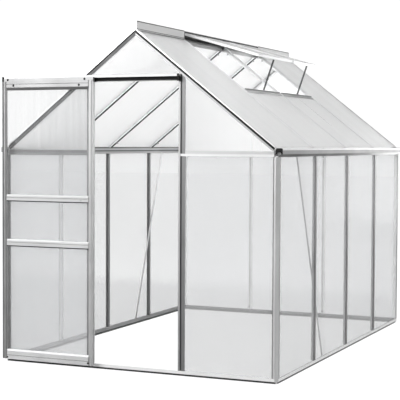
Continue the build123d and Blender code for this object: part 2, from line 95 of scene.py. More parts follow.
def ramp(nt, fac, stops):
    r = node(nt, "ShaderNodeValToRGB")
    e = r.color_ramp.elements
    while len(e) < len(stops):
        e.new(0.5)
    for i, (at, v) in enumerate(stops):
        e[i].position = at
        e[i].color = (v[0], v[1], v[2], 1) if isinstance(v, tuple) else (v, v, v, 1)
    nt.links.new(fac, r.inputs["Fac"])
    return r.outputs["Color"]


def span(nt, value, a, b, c, d):
    r = node(nt, "ShaderNodeMapRange")
    for i, v in zip((1, 2, 3, 4), (a, b, c, d)):
        r.inputs[i].default_value = v
    nt.links.new(value, r.inputs[0])
    return r.outputs[0]


def product(nt, a, b, kind="MULTIPLY", fac=1.0):
    m = node(nt, "ShaderNodeMix", data_type="RGBA", blend_type=kind)
    m.inputs[0].default_value = fac
    nt.links.new(a, m.inputs[6])
    nt.links.new(b, m.inputs[7])
    return m.outputs[2]


def bump(nt, p, height, strength, distance):
    b = node(nt, "ShaderNodeBump")
    b.inputs["Strength"].default_value = strength
    b.inputs["Distance"].default_value = distance
    nt.links.new(height, b.inputs["Height"])
    nt.links.new(b.outputs["Normal"], p.inputs["Normal"])


def bands(nt, vector, stops):
    """A tone that changes with the distance along a direction of the object, as (distance, tone) steps."""
    tc = node(nt, "ShaderNodeTexCoord")
    d = node(nt, "ShaderNodeVectorMath", operation="DOT_PRODUCT")
    d.inputs[1].default_value = vector
    nt.links.new(tc.outputs["Object"], d.inputs[0])
    lo, hi = stops[0][0] - 0.001, stops[-1][0] + 0.001
    at = span(nt, d.outputs["Value"], lo, hi, 0.0, 1.0)
    return ramp(nt, at, [((v - lo) / (hi - lo), t) for v, t in stops])


def aluminium(name, along, turn=(0, 0, 0), tone=0.86, rough=0.34, steps=()):
    """Mill-finish extruded bar. Die lines run along one axis, with a soft mottle over them. steps are (vector, stops):
    bands of painted light and shade multiplied over the finish.
    """
    m, nt, p = material(name)
    fine = [420.0, 420.0, 420.0]
    fine[along] = 2.2
    broad = [60.0, 60.0, 60.0]
    broad[along] = 1.2
    lines = noise(nt, mapping(nt, fine, turn), 1.0, 2.0, 0.6)
    drawn = noise(nt, mapping(nt, broad, turn), 1.0, 3.0, 0.55)
    mottle = noise(nt, mapping(nt, (9, 9, 9)), 1.0, 4.0, 0.6)
    a = ramp(nt, lines, [(0.25, (tone * 0.90, tone * 0.905, tone * 0.91)), (0.75, (tone * 1.03, tone * 1.03, tone * 1.035))])
    b = ramp(nt, drawn, [(0.30, 0.93), (0.70, 1.0)])
    c = ramp(nt, mottle, [(0.30, 0.94), (0.72, 1.0)])
    whole = product(nt, product(nt, a, b), c)
    for vector, stops in steps:
        whole = product(nt, whole, bands(nt, vector, stops))
    nt.links.new(whole, p.inputs["Base Color"])
    p.inputs["Metallic"].default_value = 1.0
    nt.links.new(span(nt, mottle, 0.3, 0.7, rough - 0.05, rough + 0.08), p.inputs["Roughness"])
    bump(nt, p, lines, 0.10, 0.0002)
    return m


def clear_part(nt, p, share, veil, tint=1.0):
    """Lets a share of the light straight through p's surface, and scatters part of the rest inward."""
    out = next(n for n in nt.nodes if n.type == "OUTPUT_MATERIAL")
    scatter = node(nt, "ShaderNodeBsdfTranslucent")
    scatter.inputs["Color"].default_value = (0.93, 0.935, 0.94, 1)
    milk = node(nt, "ShaderNodeMixShader")
    milk.inputs[0].default_value = veil
    nt.links.new(p.outputs[0], milk.inputs[1])
    nt.links.new(scatter.outputs[0], milk.inputs[2])
    clear = node(nt, "ShaderNodeBsdfTransparent")
    clear.inputs["Color"].default_value = (tint, tint * 1.002, tint * 1.004, 1) if tint < 0.99 else (1, 1, 1, 1)
    both = node(nt, "ShaderNodeMixShader")
    if isinstance(share, float):
        both.inputs[0].default_value = share
    else:
        nt.links.new(share, both.inputs[0])
    nt.links.new(clear.outputs[0], both.inputs[1])
    nt.links.new(milk.outputs[0], both.inputs[2])
    nt.links.new(both.outputs[0], out.inputs["Surface"])


def sheet(name, across, turn=(0, 0, 0), tone=0.965, rough=0.35, through=0.96, ior=1.50):
    """A translucent fluted sheet. It shows what is close behind and blurs what is far. The flutes repeat across one axis."""
    m, nt, p = material(name)
    streak = [0.35, 0.35, 0.35]
    streak[across] = 36.0
    wide = [0.25, 0.25, 0.25]
    wide[across] = 7.0
    fine = noise(nt, mapping(nt, streak, turn), 1.0, 3.0, 0.7)
    soft = noise(nt, mapping(nt, wide, turn), 1.0, 2.0, 0.5)
    cloud = noise(nt, mapping(nt, (1.6, 1.6, 1.6)), 1.0, 3.0, 0.5)
    a = ramp(nt, fine, [(0.30, tone * 0.985), (0.70, tone * 1.01)])
    b = ramp(nt, cloud, [(0.30, (0.975, 0.978, 0.98)), (0.70, (1.0, 1.0, 1.0))])
    nt.links.new(product(nt, a, b), p.inputs["Base Color"])
    p.inputs["Metallic"].default_value = 0.0
    p.inputs["IOR"].default_value = ior
    nt.links.new(span(nt, soft, 0.3, 0.7, rough - 0.03, rough + 0.03), p.inputs["Roughness"])
    p.inputs["Transmission Weight"].default_value = through
    wave = node(nt, "ShaderNodeTexWave", wave_type="BANDS", bands_direction="XYZ"[across])
    wave.inputs["Scale"].default_value = 1.0
    wave.inputs["Distortion"].default_value = 0.0
    flute = [1.0, 1.0, 1.0]
    flute[across] = 1.0 / 0.006 / 3.18   # a band texture of scale 1 repeats every 0.314
    nt.links.new(mapping(nt, flute, turn), wave.inputs["Vector"])
    bump(nt, p, wave.outputs["Fac"], 0.12, 0.0003)
    return m


def wall_sheet(name, across, alpha=0.24, tone=0.90, vary=0.006, tint=0.95):
    """A fluted sheet that shows what is behind it crisply under a milky veil."""
    m, nt, p = material(name)
    streak = [0.35, 0.35, 0.35]
    streak[across] = 36.0
    fine = noise(nt, mapping(nt, streak), 1.0, 3.0, 0.7)
    cloud = noise(nt, mapping(nt, (1.6, 1.6, 1.6)), 1.0, 3.0, 0.5)
    a = ramp(nt, fine, [(0.30, tone * 0.985), (0.70, tone * 1.01)])
    b = ramp(nt, cloud, [(0.30, (0.975, 0.978, 0.98)), (0.70, (1.0, 1.0, 1.0))])
    nt.links.new(product(nt, a, b), p.inputs["Base Color"])
    p.inputs["Metallic"].default_value = 0.0
    p.inputs["IOR"].default_value = 1.58
    nt.links.new(span(nt, cloud, 0.3, 0.7, 0.17, 0.25), p.inputs["Roughness"])
    clear_part(nt, p, span(nt, fine, 0.25, 0.75, alpha - vary, alpha + vary), 0.5, tint)
    wave = node(nt, "ShaderNodeTexWave", wave_type="BANDS", bands_direction="XYZ"[across])
    wave.inputs["Scale"].default_value = 1.0
    wave.inputs["Distortion"].default_value = 0.0
    flute = [1.0, 1.0, 1.0]
    flute[across] = 1.0 / 0.006 / 3.18
    nt.links.new(mapping(nt, flute), wave.inputs["Vector"])
    bump(nt, p, wave.outputs["Fac"], 0.12, 0.0003)
    return m


def web_material(name, alpha=0.04):
    """The thin webs between a sheet's two skins."""
    m, nt, p = material(name)
    v = noise(nt, mapping(nt, (30, 30, 2)), 1.0, 2.0, 0.5)
    nt.links.new(ramp(nt, v, [(0.3, 0.80), (0.7, 0.92)]), p.inputs["Base Color"])
    p.inputs["Roughness"].default_value = 0.35
    clear_part(nt, p, alpha, 0.5)
    return m


def plastic(name, tone=0.012):
    m, nt, p = material(name)
    grain = noise(nt, mapping(nt, (900, 900, 900)), 1.0, 2.0, 0.5)
    dust = noise(nt, mapping(nt, (40, 40, 40)), 1.0, 4.0, 0.6)
    nt.links.new(ramp(nt, dust, [(0.35, tone * 0.7), (0.75, tone * 1.6)]), p.inputs["Base Color"])
    nt.links.new(span(nt, dust, 0.3, 0.7, 0.62, 0.78), p.inputs["Roughness"])
    p.inputs["Specular IOR Level"].default_value = 0.25
    bump(nt, p, grain, 0.15, 0.0001)
    return m


def zinc(name, tone=0.5, rough=0.38, metal=1.0):
    """Bolts, nuts and screws."""
    m, nt, p = material(name)
    v = noise(nt, mapping(nt, (160, 160, 160)), 1.0, 3.0, 0.6)
    nt.links.new(ramp(nt, v, [(0.3, tone * 0.8), (0.7, tone * 1.1)]), p.inputs["Base Color"])
    nt.links.new(span(nt, v, 0.3, 0.7, rough - 0.06, rough + 0.1), p.inputs["Roughness"])
    p.inputs["Metallic"].default_value = metal
    return m


def satin(name, tone, rough=0.55, steps=(), metal=0.35):
    """A plain satin face of the capping, with faint marks along it. steps multiply bands of painted shade over it."""
    m, nt, p = material(name)
    lines = noise(nt, mapping(nt, (90, 1.6, 260)), 1.0, 2.0, 0.5)
    mottle = noise(nt, mapping(nt, (7, 7, 7)), 1.0, 4.0, 0.6)
    a = ramp(nt, lines, [(0.25, tone * 0.95), (0.75, tone * 1.02)])
    whole = product(nt, a, ramp(nt, mottle, [(0.3, 0.96), (0.7, 1.0)]))
    for vector, stops in steps:
        whole = product(nt, whole, bands(nt, vector, stops))
    nt.links.new(whole, p.inputs["Base Color"])
    p.inputs["Metallic"].default_value = metal
    nt.links.new(span(nt, mottle, 0.3, 0.7, rough - 0.05, rough + 0.07), p.inputs["Roughness"])
    bump(nt, p, lines, 0.08, 0.0002)
    return m


SLOPE_R, SLOPE_L = (0, -PITCH, 0), (0, PITCH, 0)
ALU_X = aluminium("bar_along_x", 0)
ALU_Y = aluminium("bar_along_y", 1)
ALU_Z = aluminium("bar_along_z", 2)
ALU_R = aluminium("bar_down_right_slope", 0, SLOPE_R)
ALU_L = aluminium("bar_down_left_slope", 0, SLOPE_L)
STRIP = aluminium("flat_strip", 2, tone=0.72, rough=0.42)
STAY = aluminium("stay_strip", 2, tone=0.15, rough=0.45)
# the vent sill bars get a darker copy of the aluminium: painted shade under the vents
SILL_BAR_SHADED = aluminium("vent_sill_bar", 1, tone=0.56, rough=0.42)
SHEET_X = wall_sheet("sheet_flutes_across_x", 0, 0.22, tint=0.965)
SHEET_Y = wall_sheet("sheet_flutes_across_y", 1, 0.19, tint=0.945)
SHEET_G = sheet("gable_sheet_flutes_across_x", 0, tone=0.96, rough=0.30)
SHEET_R = sheet("roof_sheet_flutes_across_y", 1, rough=0.30)
SHEET_L = sheet("left_roof_sheet_flutes_across_y", 1, tone=0.99, rough=0.30, through=0.985, ior=1.42)
SHEET_D = wall_sheet("door_sheet_flutes_across_x", 0, 0.095, 0.90, 0.035, 0.972)
WEB = web_material("sheet_webs")
BLACK = plastic("black_moulding")
STEEL = zinc("zinc_fixings")
DARK = zinc("dark_fixings", 0.035, 0.45)

LOOK = {
    "door_bottom_rail": ALU_X, "door_hanger": ALU_X, "door_mid_rails": ALU_X, "door_top_rail": ALU_X,
    "door_stiles": ALU_Z, "door_panes": SHEET_D, "door_rollers": BLACK,
    "door_header": ALU_X, "door_track": ALU_X, "door_track_liner": BLACK, "door_track_stops": BLACK,
    "front_sole_plate": ALU_X, "rear_sole_plate": ALU_X, "side_sole_plates": ALU_Y,
    "left_eave_gutter": ALU_Y, "right_eave_gutter": ALU_Y, "gutter_end_caps": BLACK,
    "ridge_beam": ALU_Y, "ridge_caps": ALU_Y, "vent_sill_bars": SILL_BAR_SHADED,
    "front_vent_frame": ALU_Y, "rear_vent_frame": ALU_Y, "vent_panes": SHEET_R, "vent_stays": STAY, "wall_braces": STRIP,
    "left_roof_rafters": ALU_L, "right_roof_rafters": ALU_R,
}
for name, o in nodes.items():
    if name in LOOK:
        m = LOOK[name]
    elif "panel" in name:
        m = SHEET_X
        if name.startswith(("left", "right")):
            m = (SHEET_L if "left" in name else SHEET_R) if "roof" in name else SHEET_Y
        elif "gable" in name:
            m = SHEET_G
    elif "crossbars" in name:
        m = ALU_X
    elif "gable_rafters" in name:
        m = ALU_X
    else:
        m = ALU_Z
    o.data.materials.clear()
    o.data.materials.append(m)
    for poly in o.data.polygons:
        poly.material_index = 0

# the braces on the right wall get a darker copy of the strip: painted shade on the shaded side
BRACE_R_SHADED = aluminium("flat_strip_right_painted_shade", 2, tone=0.30, rough=0.42)
o = nodes["wall_braces"]
o.data.materials.append(BRACE_R_SHADED)
for poly in o.data.polygons:
    poly.material_index = 1 if poly.center.x > 0 else 0

LIT_SHADED_COPIES = {}


# copies of the aluminium at other tones: lighter ones are painted light on lit faces, darker ones painted shade on
# shaded faces, recesses and undersides
def lit_shaded_copy(along, tone, turn=(0, 0, 0), rough=0.40):
    key = (along, round(tone, 3), turn, rough)
    if key not in LIT_SHADED_COPIES:
        LIT_SHADED_COPIES[key] = aluminium("bar_%s_%03d_%d_%d" % ("xyz"[along], round(tone * 1000), round(math.degrees(turn[1])), round(rough * 100)), along, turn, tone, rough)
    return LIT_SHADED_COPIES[key]


def shade_bands(name, along, vector, stops, turn=(0, 0, 0), rough=0.40, more=()):
    """An aluminium finish with painted light and shade in bands: stops are (distance, tone), held flat up to the next
    one.
    """
    if name not in LIT_SHADED_COPIES:
        held = []
        for i, (at, t) in enumerate(stops):
            held.append((at, t))
            if i + 1 < len(stops):
                held.append((stops[i + 1][0] - 0.0004, t))
        LIT_SHADED_COPIES[name] = aluminium(name, along, turn, 1.0, rough, [(vector, held)] + list(more))
    return LIT_SHADED_COPIES[name]


def faces(name, rule):
    """Gives each face of a node the finish that rule(centre, normal) picks, mostly lit and shaded copies that paint
    light and shade face by face.
    """
    o = nodes[name]
    o.data.materials.clear()
    for poly in o.data.polygons:
        m = rule(poly.center, poly.normal)
        i = o.data.materials.find(m.name)
        if i < 0:
            o.data.materials.append(m)
            i = len(o.data.materials) - 1
        poly.material_index = i


# a near-white satin for aluminium faces inside the house: painted light that stands in for the brightly lit inside
PALE_LIT = satin("pale_satin_painted_light", 0.96, 0.45, metal=0.05)
# a band of near-black painted shade along the right gable rafter's slot wall, under its lip
SLOT_R = shade_bands("gable_slot_right_painted_shade", 0, (SI, 0, CO), [(APEX * CO - 0.030, 0.50), (APEX * CO - 0.0175, 0.035), (APEX * CO + 0.001, 0.035)], SLOPE_R)


# gable rafters in painted light and shade: pale lip and top flange as painted light, a near-black painted shade in the
# recess under the lip, grey slot wall
def gable_rule(face, inward):
    def rule(c, n):
        turn = SLOPE_R if c.x > 0 else SLOPE_L
        deep = (c.y - face) * inward
        out_n = (abs(c.x) * SI + (c.z - APEX) * CO)   # distance out from the roof's plane
        if n.y * inward < -0.5:
            if deep < -0.001:
                return lit_shaded_copy(0, T["lip"], turn)
            if deep <= 0.002 and c.x > 0:
                return SLOT_R
            return lit_shaded_copy(0, T["recess"] if deep > 0.002 else T["slot_left"], turn)
        if -0.0130 < out_n < -0.001 and deep < 0.004:
            return lit_shaded_copy(0, T["recess"], turn)
        return lit_shaded_copy(0, T["gable_top"] if out_n > -0.004 else (0.45 if inward > 0 else 0.90), turn)
    return rule


# tones given face by face: the low ones paint shade into recesses, grooves, sides and undersides, the high ones paint
# light onto lit lips, tops and flanges
T = {
    "lip": 0.95, "recess": 0.03, "slot_left": 0.11, "gable_top": 0.92,
    "post_lip": 0.48, "post_groove": 0.13, "post_face": 0.26, "post_inner": 0.55,
    "cross_low": 0.80, "cross_high": 0.60,
    "stud_out": 0.48, "stud_side": 0.22, "stud_back": 0.60, "stud_flange": 0.20,
    "rafter_out": 0.90, "rafter_side": 1.0, "rafter_dark": 0.05,
    "rail_face": 0.56, "rail_low": 0.22, "rail_high": 0.45, "rail_line": 0.10,
    "hang": 0.40, "stile": 0.74,
}
faces("front_gable_rafters", gable_rule(Y0, 1))
faces("rear_gable_rafters", gable_rule(Y1, -1))


# door posts in painted light and shade: a grey lip, a groove and a face painted dark as shade, grey sides, and pale
# painted light on the faces inside
def post_rule(c, n):
    x = abs(c.x)
    if n.y < -0.5 and c.y < Y0 + 0.004:
        return lit_shaded_copy(2, T["post_lip"] if x < 0.2735 else T["post_face"])
    if 0.2715 < x < 0.284 and c.y < Y0 + 0.0075:
        return lit_shaded_copy(2, T["post_groove"])
    return PALE_LIT if c.y > Y0 + 0.0078 else lit_shaded_copy(2, T["post_inner"])


faces("door_posts", post_rule)

# corner posts in painted light and shade: pale painted light on the inner flanges, a light bevel, darker sides and
# backs as painted shade
def corner_rule(c, n):
    if c.y > 0 and abs(c.x) < HALF - 0.001 and c.y < Y1 - 0.001 and max(abs(n.x), abs(n.y)) > 0.9:
        return PALE_LIT
    if c.x < 0 and c.y < 0 and n.y < -0.9:      # painted shadow of the opened door
        return lit_shaded_copy(2, 0.16)
    if abs(n.x) > 0.4 and abs(n.y) > 0.4:
        return lit_shaded_copy(2, 0.92)
    if abs(n.x) > 0.9:
        return lit_shaded_copy(2, 0.50 if n.x * c.x > 0 and abs(c.x) > HALF - 0.001 else 0.25)
    if abs(c.y - Y0) < 0.0005 or abs(c.y - Y1) < 0.0005:
        return lit_shaded_copy(2, 0.80)
    return lit_shaded_copy(2, 0.20)


for name in ("front_corner_posts", "rear_corner_posts"):
    faces(name, corner_rule)

# sole plates: a dark band of painted shade along the foot under a pale face, and the rear plate's inner face painted
# dark as shade
FOOT_Y = satin("sole_side_face_painted_shade", 0.95, 0.45, [((0, 0, 1), [(0.0, 0.06), (0.0105, 0.06), (0.0110, 1.0), (0.030, 1.0)])])
# the side plates' inner faces darken toward the floor: painted shade
FOOT_IN = shade_bands("sole_inner_face_painted_shade", 1, (0, 0, 1), [(0.0, 0.30), (0.008, 0.70), (0.030, 0.70)])
FOOT_X = satin("sole_end_face_painted_shade", 0.95, 0.45, [((0, 0, 1), [(0.0, 0.05), (0.0105, 0.05), (0.0110, 1.0), (0.030, 1.0)])])
SILL_TOP = satin("sole_end_top", 0.95, 0.45)


def sole_rule(c, n):
    if c.y > 0 and n.y < -0.5:
        return lit_shaded_copy(0, 0.16)
    if n.z > 0.5 and c.z > 0.01:
        return SILL_TOP
    return FOOT_X


def side_sole_rule(c, n):
    if n.x * c.x < 0:
        return FOOT_IN
    return FOOT_Y if abs(n.x) > 0.5 else lit_shaded_copy(1, 0.45)


for name in ("front_sole_plate", "rear_sole_plate"):
    faces(name, sole_rule)
faces("side_sole_plates", side_sole_rule)


# crossbars: pale painted light on the rear ones; the front ones a lighter copy below the eave and a darker copy above
def cross_rule(c, n):
    if c.y > 0:
        return PALE_LIT
    k = 0.34 if c.x < 0 else 1.0        # painted shadow of the opened door on the left one
    return lit_shaded_copy(0, k * (T["cross_low"] if c.z < 1.2095 else T["cross_high"]))


faces("front_crossbars", cross_rule)
faces("rear_crossbars", cross_rule)


# wall studs in painted light and shade: a grey outer strip, the bolt channel's sides and the flange behind the sheets
# painted dark as shade, a lighter back; pale painted light on the left studs near the door and on all rear studs
def stud_rule(c, n):
    outward = n.x * (1 if c.x > 0 else -1)
    depth = HALF - abs(c.x)
    if outward > 0.5 and depth < 0.001:
        return lit_shaded_copy(2, T["stud_out"])
    if outward < -0.5 and depth > 0.015:
        return lit_shaded_copy(2, T["stud_back"])
    if abs(n.y) > 0.5 and depth > 0.008:
        return lit_shaded_copy(2, T["stud_side"])
    return lit_shaded_copy(2, T["stud_flange"])


def left_stud_rule(c, n):
    if c.y < Y0 + 0.8 and n.x > -0.5:
        return PALE_LIT
    return stud_rule(c, n)


faces("left_wall_studs", left_stud_rule)
faces("right_wall_studs", stud_rule)
faces("rear_wall_studs", lambda c, n: PALE_LIT)


# roof rafters in painted light and shade: pale outer strip and channel sides with a band of painted shade near the
# inner edge, and the inner flange and lips painted dark as shade
def rafter_rule(c, n):
    side = 1 if c.x > 0 else -1
    turn = SLOPE_R if side > 0 else SLOPE_L
    out = n.x * side * SI + n.z * CO
    depth = -(abs(c.x) * SI + (c.z - APEX) * CO)
    if depth < 0.002:
        return lit_shaded_copy(0, T["rafter_out"], turn)
    if abs(n.y) > 0.5:
        return RAFT_R if side > 0 else RAFT_L
    if out < -0.5 and depth > 0.018:
        return lit_shaded_copy(0, T["rafter_dark"] if side < 0 else 0.40, turn)
    return lit_shaded_copy(0, 0.90, turn)


RAFT_R = shade_bands("rafter_side_right_painted_shade", 0, (SI, 0, CO), [(APEX * CO + v, t) for v, t in ((-0.030, 0.35), (-0.0205, 1.0), (0.001, 1.0))], SLOPE_R)
RAFT_L = shade_bands("rafter_side_left_painted_shade", 0, (-SI, 0, CO), [(APEX * CO + v, t) for v, t in ((-0.030, 0.04), (-0.0150, 1.0), (0.001, 1.0))], SLOPE_L)
for name in ("left_roof_rafters", "right_roof_rafters"):
    faces(name, rafter_rule)


# eave beams in painted light and shade: light and dark bands on the gutter's face, a dark line of painted shade under
# it that lightens toward the rear, and dark bands of painted shade on the inner face
GUTTER = shade_bands("gutter_face_painted_shade", 1, (0, 0, 1), [(1.205, 0.28), (1.2325, 0.85), (1.245, 0.85)], rough=0.34)
EAVE_IN = shade_bands("eave_inner_face_painted_shade", 1, (0, 0, 1), [(1.199, 0.36), (1.2110, 0.05), (1.2185, 0.36), (1.2320, 0.13), (1.240, 0.13)])
EAVE_UNDER = aluminium("eave_slot_face_painted_shade", 1, (0, 0, 0), 1.0, 0.4, [((0, 1, 0), [(Y0, 0.06), (Y0 + 1.2, 0.08), (Y0 + 1.7, 0.30), (Y0 + 2.1, 0.80), (Y1, 0.80)])])


def eave_rule(c, n):
    side = 1 if c.x > 0 else -1
    x = abs(c.x)
    out = n.x * side
    if out > 0.5 and x > 0.859:
        return GUTTER
    if out > 0.5 and 0.8395 < x < 0.8405 and c.z < 1.2115:
        return EAVE_UNDER
    if out < -0.5 and x < 0.806:
        return EAVE_IN
    if out < -0.5 and x < 0.825:
        return lit_shaded_copy(1, 0.10)
    if n.z > 0.5 and c.z > 1.235:
        return lit_shaded_copy(1, 0.95)
    return lit_shaded_copy(1, 0.55)


for name in ("left_eave_gutter", "right_eave_gutter"):
    faces(name, eave_rule)


# header and track: pale lips round a channel painted dark as shade, with a dark band of painted shade on the lower lip
LIP = shade_bands("track_lower_lip_painted_shade", 0, (0, 0, 1), [(1.600, 0.75), (1.6050, 0.08), (1.611, 0.08)])


def track_rule(c, n):
    if n.y < -0.5 and c.y < Y0 - 0.0235:
        return lit_shaded_copy(0, 0.60) if c.z > 1.62 else LIP
    if n.z > 0.5 and c.z > 1.6405:
        return lit_shaded_copy(0, 0.85)
    if abs(n.z) > 0.5 or c.y > Y0 - 0.0235:
        return lit_shaded_copy(0, 0.14)
    return lit_shaded_copy(0, 0.45)


faces("door_track", track_rule)


# the header's front face gets a darker copy than its other faces: painted shade
def header_rule(c, n):
    if n.y < -0.5 and c.y < Y0:
        return lit_shaded_copy(0, 0.42)
    return lit_shaded_copy(0, 0.60)


faces("door_header", header_rule)


# door rails in painted light and shade: a top bevel, a face with a fine groove painted dark as shade, a lower bevel
# painted dark as shade, and each rail's face a copy at its own tone
def rail_rule(low, high, tone):
    def rule(c, n):
        if n.y < -0.2 and c.y < DOOR_F + 0.0045:
            if n.z < -0.03:
                return lit_shaded_copy(0, (T["rail_low"] if low > 1.0 else 0.06) if c.z < low + 0.02 else T["rail_line"])
            if n.z > 0.03:
                return lit_shaded_copy(0, T["rail_high"] if c.z > high - 0.02 else T["rail_line"] * 3)
        if n.z > 0.5:
            return lit_shaded_copy(0, 0.45)
        return lit_shaded_copy(0, tone)
    return rule


for name, low, high, tone in (("door_bottom_rail", 0.022, 0.079, 0.95), ("door_top_rail", 1.563, 1.613, 0.38)):
    faces(name, rail_rule(low, high, tone))


def mid_rule(c, n):
    return rail_rule(0.672, 0.714, 0.72)(c, n) if c.z < 0.8 else rail_rule(0.930, 0.970, 0.62)(c, n)


faces("door_mid_rails", mid_rule)


# the hanger's underside is painted dark as shade
def hanger_rule(c, n):
    if n.y < -0.5:
        return lit_shaded_copy(0, T["hang"])
    return lit_shaded_copy(0, 0.10 if n.z < -0.5 else 0.80)


faces("door_hanger", hanger_rule)


def stile_rule(c, n):
    left = c.x < (DOOR_L + DOOR_R) / 2
    if abs(n.y) < 0.99 and n.y < -0.3:      # a bevel of the face, painted as light and shade by the way it faces
        if left:
            return lit_shaded_copy(2, 0.30 if n.x > 0 else 0.66)
        return lit_shaded_copy(2, 0.76 if n.x > 0 else 0.74)
    return lit_shaded_copy(2, T["stile"])


faces("door_stiles", stile_rule)


# ridge: an even satin upright face on the caps with dark lines of painted shade along its top and bottom, undersides
# and outer edges painted dark as shade, and painted shade on the beam under them
CAP_FACE = satin("ridge_cap_satin_shade_lines", 0.60, steps=[((0, 0, 1), [(1.885, 0.10), (1.8925, 0.10), (1.8935, 1.0), (1.9305, 1.0), (1.9315, 0.10), (1.940, 0.10)])])
CAP_EDGE_SHADE = satin("ridge_cap_edges_painted_shade", 0.10)


def cap_rule(c, n):
    if abs(n.x) > 0.9 and abs(c.x) > 0.005 and abs(c.x) < 0.0065:
        return CAP_FACE
    if n.z < -0.5 or abs(c.x) > 0.0125:
        return CAP_EDGE_SHADE
    if abs(n.y) > 0.5:
        return lit_shaded_copy(1, 0.95)
    return lit_shaded_copy(1, 0.60)


faces("ridge_caps", cap_rule)


# the beam's side is painted darker along the vents and near-black above the roof line: painted shade under the caps and
# vents
BEAM = shade_bands("ridge_beam_side_painted_shade", 1, (0, 1, 0), [(Y0, 0.90), (Y0 + 0.637, 0.55), (Y0 + 1.863, 0.90), (Y1, 0.90)],
               more=[((0, 0, 1), [(1.840, 0.90), (1.8800, 0.90), (1.8810, 0.08), (1.940, 0.08)])])


def beam_rule(c, n):
    return BEAM


faces("ridge_beam", beam_rule)


# ---------------------------------------------------------------- mesh helpers
def add(name, bm, mats, body, smooth=False):
    bmesh.ops.recalc_face_normals(bm, faces=bm.faces)
    me = bpy.data.meshes.new(name)
    bm.to_mesh(me)
    bm.free()
    for m in mats if isinstance(mats, (list, tuple)) else [mats]:
        me.materials.append(m)
    if smooth:
        for poly in me.polygons:
            poly.use_smooth = True
    o = bpy.data.objects.new(name, me)
    scene.collection.objects.link(o)
    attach(o, body)
    return o


def hexa(bm, low, high, index=0):
    """A closed body between two quads of four points each."""
    a = [bm.verts.new(p) for p in low]
    b = [bm.verts.new(p) for p in high]
    faces = [bm.faces.new(a[::-1]), bm.faces.new(b)]
    for i in range(4):
        j = (i + 1) % 4
        faces.append(bm.faces.new((a[i], a[j], b[j], b[i])))
    for f in faces:
        f.material_index = index


def slab(bm, x0, x1, y0, y1, z0, z1, index=0):
    hexa(bm, [(x0, y0, z0), (x1, y0, z0), (x1, y1, z0), (x0, y1, z0)], [(x0, y0, z1), (x1, y0, z1), (x1, y1, z1), (x0, y1, z1)], index)


def frame_at(at, axis, up=(0, 0, 1)):
    """A matrix that takes +Z to axis and the origin to at."""
    z = Vector(axis).normalized()
    u = Vector(up)
    if abs(z.dot(u)) > 0.9:
        u = Vector((1, 0, 0))
    x = u.cross(z).normalized()
    y = z.cross(x)
    return Matrix.Translation(Vector(at)) @ Matrix((x, y, z)).transposed().to_4x4()


def turned(bm, m, rings, sides, index=0, phase=0.0):
    """A closed turned body from (radius, height) rings, all with the same sides."""
    made = []
    for r, h in rings:
        made.append([bm.verts.new(m @ Vector((r * math.cos(phase + 2 * math.pi * i / sides), r * math.sin(phase + 2 * math.pi * i / sides), h))) for i in range(sides)])
    faces = [bm.faces.new(made[0][::-1]), bm.faces.new(made[-1])]
    for a, b in zip(made, made[1:]):
        for i in range(sides):
            j = (i + 1) % sides
            faces.append(bm.faces.new((a[i], a[j], b[j], b[i])))
    for f in faces:
        f.material_index = index


def hex_head(bm, at, axis, size=0.010, high=0.004, index=0, washer=True, phase=0.0):
    """A hexagon head or nut on a washer, standing on a surface."""
    m = frame_at(at, axis)
    base = 0.0
    if washer:
        turned(bm, m, [(size * 0.80, 0.0), (size * 0.80, 0.0008), (size * 0.72, 0.0011)], 18, index)
        base = 0.0011
    r = size * 0.577
    turned(bm, m, [(r, base), (r, base + high * 0.8), (r * 0.86, base + high)], 6, index, phase)


def nut(bm, at, axis, index=0, phase=0.0):
    """A nut with the end of its bolt standing out of it."""
    hex_head(bm, at, axis, 0.010, 0.005, index, True, phase)
    turned(bm, frame_at(at, axis), [(0.0028, 0.0061), (0.0028, 0.0090), (0.0020, 0.0100)], 10, index)


def pan_head(bm, at, axis, radius=0.0045, index=0):
    """A low domed screw head with a cross recess."""
    m = frame_at(at, axis)
    rings = [(radius, 0.0), (radius, 0.0006), (radius * 0.92, 0.0014), (radius * 0.68, 0.0021), (radius * 0.30, 0.0024)]
    turned(bm, m, rings, 16, index)
    for turn in (0.0, math.pi / 2):
        k = m @ Matrix.Rotation(turn, 4, "Z")
        w, l, z0, z1 = radius * 0.10, radius * 0.5, 0.0024, 0.00265
        lo = [k @ Vector(p) for p in ((-l, -w, z0), (l, -w, z0), (l, w, z0), (-l, w, z0))]
        hi = [k @ Vector(p) for p in ((-l, -w, z1), (l, -w, z1), (l, w, z1), (-l, w, z1))]
        hexa(bm, lo, hi, index)


def flush_head(bm, at, axis, radius=0.0045, index=0):
    """A countersunk head that lies in the face, with a cross recess ridge round its middle."""
    m = frame_at(at, axis)
    turned(bm, m, [(radius * 0.55, -0.0012), (radius, -0.0001), (radius, 0.00010), (radius * 0.90, 0.00020), (radius * 0.30, 0.00014)], 20, index)


def roof_point(side, s, n):
    return Vector((side * (s * CO + n * SI), 0, APEX - s * SI + n * CO))


# ---------------------------------------------------------------- webs inside the sheets
STEP, WEB_T, IN = 0.006, 0.00030, 0.00030


def spots(a, b):
    n = int((b - a - 0.004) / STEP)
    first = (a + b) / 2 - n * STEP / 2
    return [first + i * STEP for i in range(n + 1)]


def upright_webs(bm, across, a, b, face, inward, low, high):
    """Webs of an upright sheet. across is 0 for x or 1 for y, face its outer plane, inward the sign of its depth."""
    n0, n1 = sorted((face + inward * (SHEET_A + IN), face + inward * (SHEET_B - IN)))
    for c in spots(a, b):
        z0 = low + 0.001
        z1 = high(c) - 0.001 if callable(high) else high - 0.001
        if z1 - z0 < 0.01:
            continue
        if across == 0:
            slab(bm, c - WEB_T / 2, c + WEB_T / 2, n0, n1, z0, z1)
        else:
            slab(bm, n0, n1, c - WEB_T / 2, c + WEB_T / 2, z0, z1)


